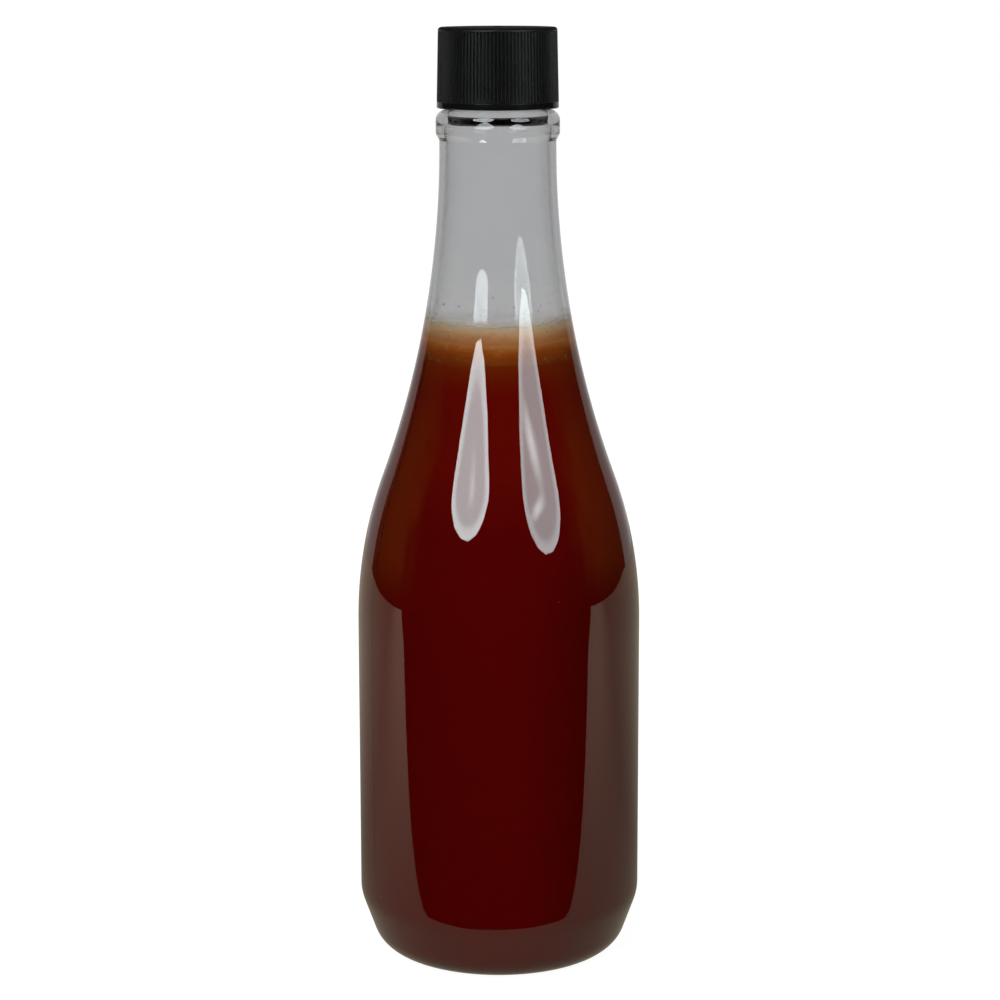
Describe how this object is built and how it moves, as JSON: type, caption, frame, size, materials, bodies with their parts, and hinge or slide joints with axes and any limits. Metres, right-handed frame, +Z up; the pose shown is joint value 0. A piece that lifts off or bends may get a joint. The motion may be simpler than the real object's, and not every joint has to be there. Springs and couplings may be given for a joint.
{
  "type": "plastic sauce bottle",
  "caption": "Round clear plastic bottle with a long tapering neck and a black ribbed screw cap, holding dark red sauce with froth on top; stands on its base.",
  "frame": {"origin": "centre of the standing ring, on the surface that the bottle stands on", "axes": "+Z up along the bottle's axis; the bottle is round, so X and Y are free, and -Y is the side shown"},
  "size_m": [0.064, 0.064, 0.2103],
  "materials": {
    "clear_plastic": "clear blown PET, glossy",
    "cap_plastic": "satin moulded polypropylene",
    "sauce": "smooth opaque liquid",
    "froth": "fine bubbles"
  },
  "bodies": {
    "root": {"bottle": "clear_plastic", "cap": "cap_plastic", "sauce": "sauce", "froth": "froth"}
  },
  "joints": []
}
